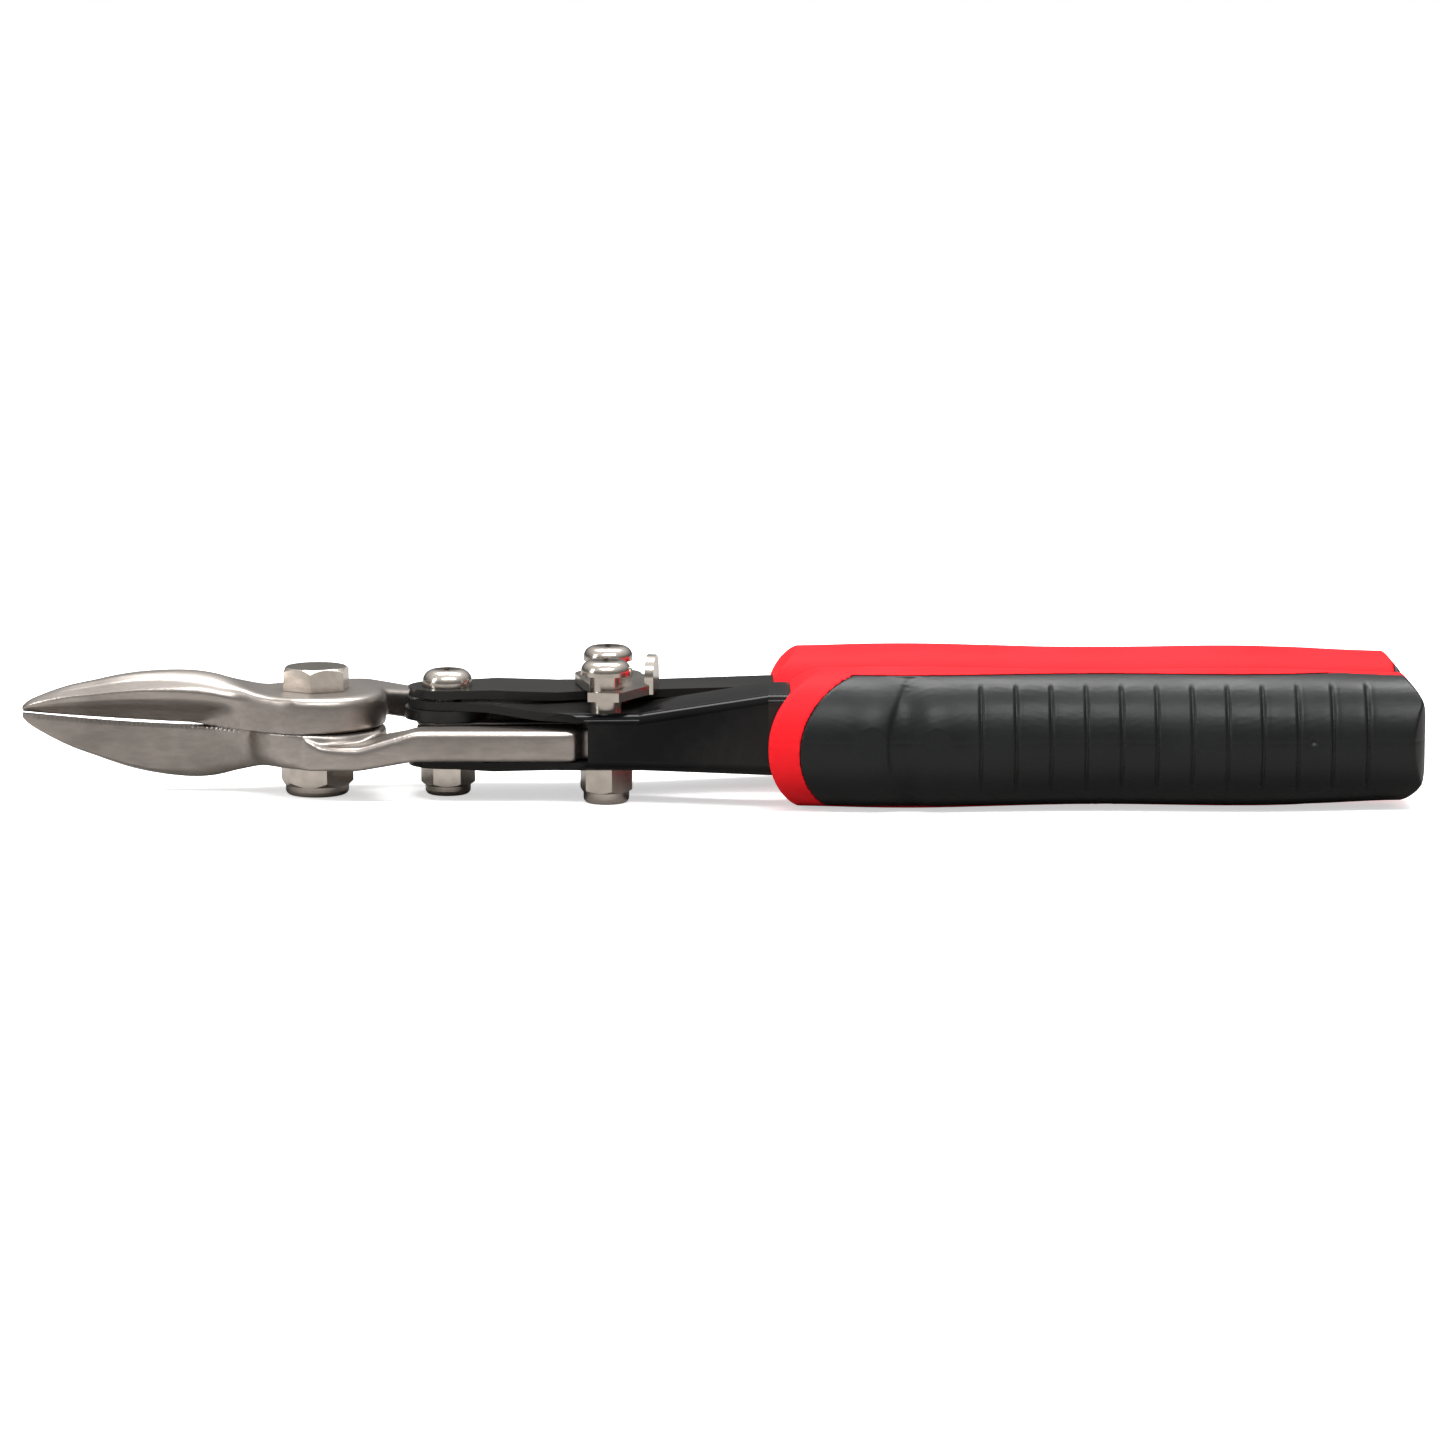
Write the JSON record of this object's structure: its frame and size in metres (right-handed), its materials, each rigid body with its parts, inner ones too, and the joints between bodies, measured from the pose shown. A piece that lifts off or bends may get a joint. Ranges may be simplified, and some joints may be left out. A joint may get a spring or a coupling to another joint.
{
  "type": "aviation snips",
  "caption": "Compound-action sheet metal snips, closed and latched: forged leaf-shaped blades, black channel handles, red and black moulded grips.",
  "frame": {"origin": "centre of the bounding box in plan, on the plane that the lock nuts rest on", "axes": "+X from the blade tips to the grip ends, +Z along the pivots with the screw heads up, +Y from the near handle to the far handle"},
  "size_m": [0.2482, 0.0532, 0.0254],
  "materials": {
    "blade_steel": "satin forged steel, bearing faces ground",
    "plated_steel": "bright nickel plate",
    "spring_steel": "oiled spring steel",
    "handle_enamel": "gloss black enamel",
    "black_nylon": "moulded black nylon",
    "insert_nylon": "natural nylon",
    "red_plastic": "semi-gloss moulded red plastic",
    "soft_grip": "matte black soft grip"
  },
  "bodies": {
    "near_handle": {"near_handle_channel": "handle_enamel", "near_grip_sleeve": "red_plastic", "near_grip_cover": "soft_grip", "handle_pivot_screw": "plated_steel", "handle_pivot_nut": "plated_steel", "handle_nut_insert": "insert_nylon", "spring_bush": "black_nylon", "handle_spring": "spring_steel", "near_tang_screw": "plated_steel", "near_tang_nut": "plated_steel", "near_nut_insert": "insert_nylon", "near_tang_washer": "spring_steel", "near_lower_spacer": "plated_steel", "near_upper_spacer": "plated_steel"},
    "far_handle": {"far_handle_channel": "handle_enamel", "far_grip_sleeve": "red_plastic", "far_grip_cover": "soft_grip", "far_tang_screw": "plated_steel", "far_tang_nut": "plated_steel", "far_nut_insert": "insert_nylon", "far_tang_washer": "spring_steel", "far_upper_spacer": "plated_steel", "latch_spring_washer": "spring_steel"},
    "lower_blade": {"lower_blade": "blade_steel", "main_pivot_bolt": "plated_steel", "main_pivot_nut": "plated_steel", "main_nut_insert": "insert_nylon"},
    "upper_blade": {"upper_blade": "blade_steel"},
    "latch": {"latch_plate": "plated_steel"}
  },
  "joints": [
    {"name": "handles_open", "type": "hinge", "parent": "near_handle", "child": "far_handle", "pos_m": [-0.0482, 0, 0.0125], "axis": [0, 0, 1], "range_deg": [0, 40], "deforming": ["handle_spring"]},
    {"name": "lower_blade_turn", "type": "hinge", "parent": "near_handle", "child": "lower_blade", "pos_m": [-0.0197, -0.009, 0.0125], "axis": [0, 0, 1], "range_deg": [0, 9.5]},
    {"name": "upper_blade_turn", "type": "hinge", "parent": "far_handle", "child": "upper_blade", "pos_m": [-0.0197, 0.009, 0.0125], "axis": [0, 0, 1], "range_deg": [-9.5, 0]},
    {"name": "latch_swing", "type": "hinge", "parent": "far_handle", "child": "latch", "pos_m": [-0.0197, 0.009, 0.0125], "axis": [0, 0, 1], "range_deg": [0, 60]}
  ],
  "couplings": [
    {"joint": "lower_blade_turn", "follows": "handles_open", "ratio": 0.2375},
    {"joint": "upper_blade_turn", "follows": "handles_open", "ratio": -0.2375},
    {"joint": "latch_swing", "follows": "handles_open", "ratio": 1.5}
  ]
}
